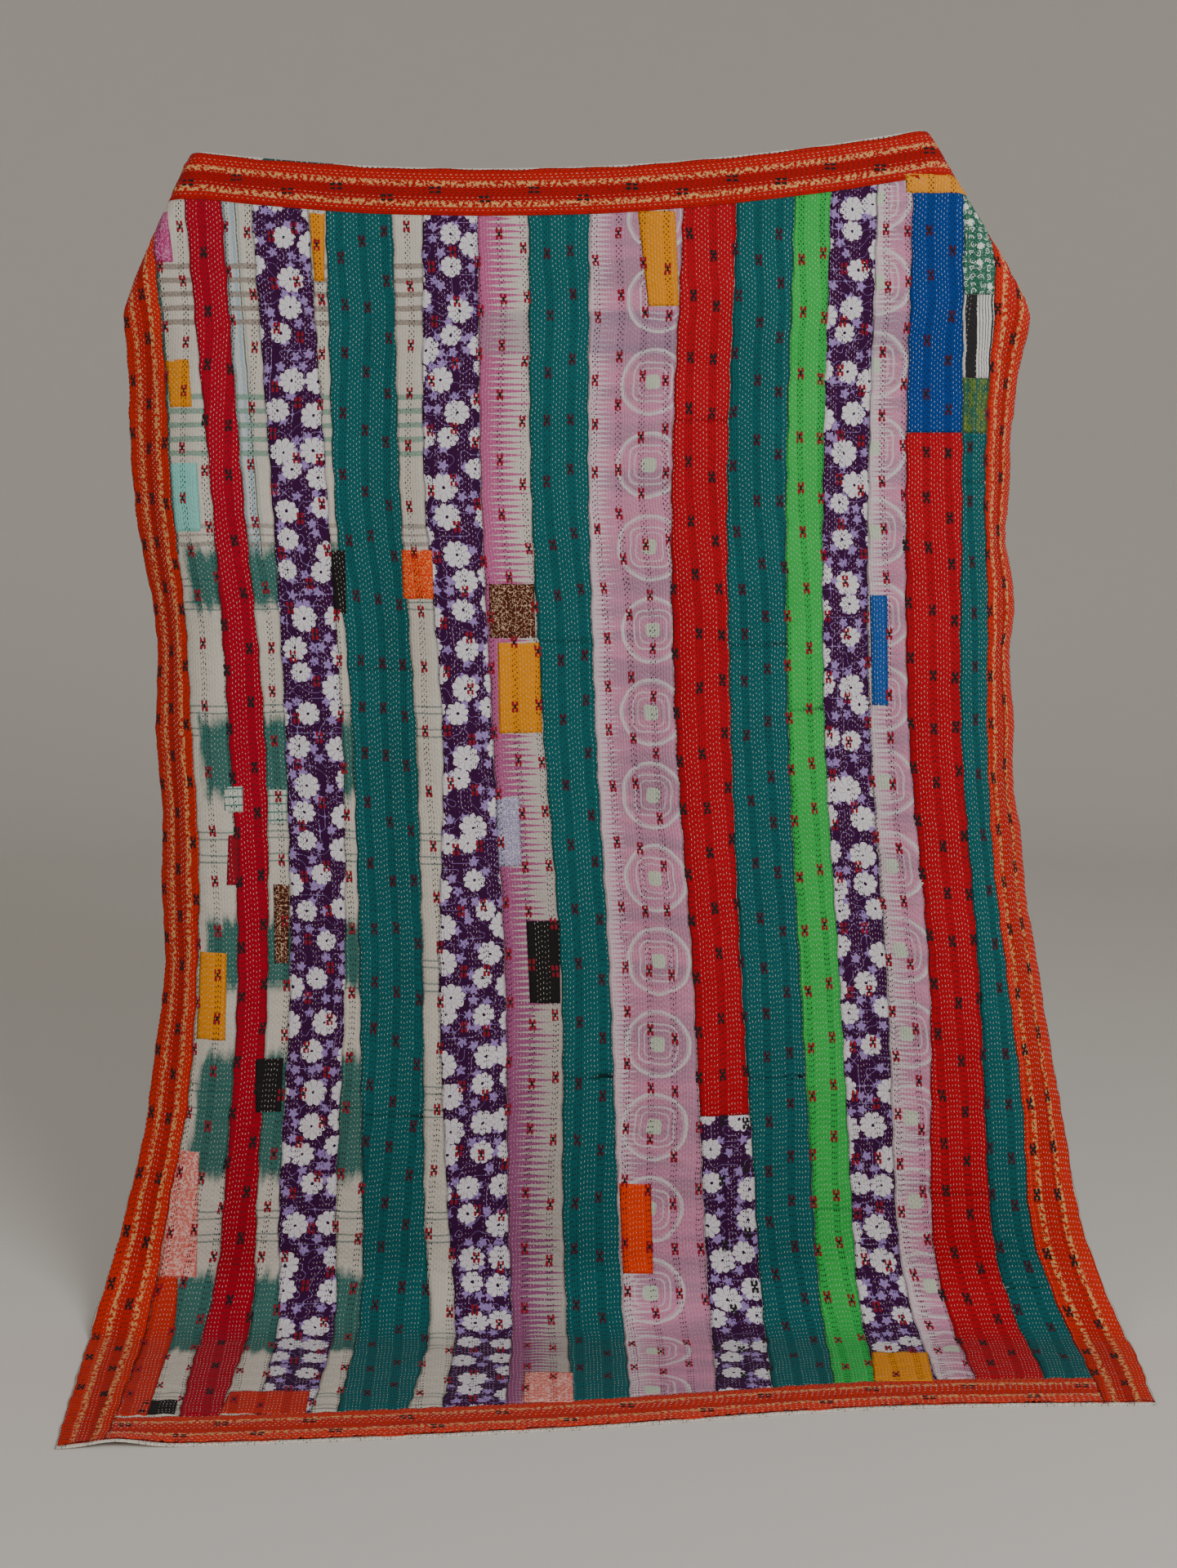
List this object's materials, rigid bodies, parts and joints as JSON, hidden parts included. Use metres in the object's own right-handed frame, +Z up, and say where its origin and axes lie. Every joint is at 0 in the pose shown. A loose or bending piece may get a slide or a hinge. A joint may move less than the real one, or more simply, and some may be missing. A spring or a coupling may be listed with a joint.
{
  "type": "kantha quilt",
  "caption": "Hand-stitched kantha quilt of joined cotton strips with a sari border, held at its top corners and hanging to the floor, its foot lying forward.",
  "frame": {"origin": "on the top edge, half-way between the two hand-holds", "axes": "+Z up the hanging cloth, -Y out of its front, +X to the right as seen from the front"},
  "size_m": [1.586, 0.515, 1.8639],
  "materials": {
    "ground_cotton": "off-white plain cotton, worn soft and matt, ribbed by the running stitch",
    "border_sari": "orange-red cotton sari border with two woven gold bands, the gold faintly glossy",
    "cream_cotton": "washed cream cotton with thin checks and soft teal dye clouds, matt",
    "crimson_cotton": "crimson plain-woven cotton, matt",
    "teal_cotton": "teal plain-woven cotton, matt, dotted by pale running stitches",
    "purple_print": "purple cotton printed with small white flowers and lilac leaves, matt",
    "mauve_ikat": "mauve and cream ikat cotton with comb-like edges, matt",
    "pink_ikat": "dusty pink cotton with pale resist-dyed rings, matt",
    "red_cotton": "red plain-woven cotton, matt",
    "green_cotton": "bright green plain-woven cotton, matt",
    "blue_cotton": "blue plain-woven cotton, matt",
    "green_print": "green cotton printed with small white scrolls, matt",
    "black_white_stripe": "black and white striped cotton, matt",
    "olive_ikat": "olive ikat cotton, matt",
    "mustard_cotton": "mustard plain-woven cotton of the small patches, matt",
    "quilting_thread": "loosely spun cotton quilting thread, matt"
  },
  "bodies": {
    "root": {"ground_cloth": "ground_cotton", "border_top": "border_sari", "border_left": "border_sari", "border_right": "border_sari", "border_foot": "border_sari", "strip_cream_left": "cream_cotton", "strip_crimson": "crimson_cotton", "strip_cream_plaid": "cream_cotton", "strip_purple_floral_1": "purple_print", "strip_cream_narrow": "cream_cotton", "strip_teal_1": "teal_cotton", "strip_cream_middle": "cream_cotton", "strip_purple_floral_2": "purple_print", "strip_mauve_ikat": "mauve_ikat", "strip_teal_2": "teal_cotton", "strip_pink_rings_1": "pink_ikat", "strip_red_1": "red_cotton", "strip_purple_floral_foot": "purple_print", "strip_teal_3": "teal_cotton", "strip_green": "green_cotton", "strip_purple_floral_3": "purple_print", "strip_pink_rings_2": "pink_ikat", "strip_blue": "blue_cotton", "strip_red_2": "red_cotton", "strip_green_print": "green_print", "strip_black_white": "black_white_stripe", "strip_olive_ikat": "olive_ikat", "strip_teal_edge": "teal_cotton"}
  },
  "joints": []
}
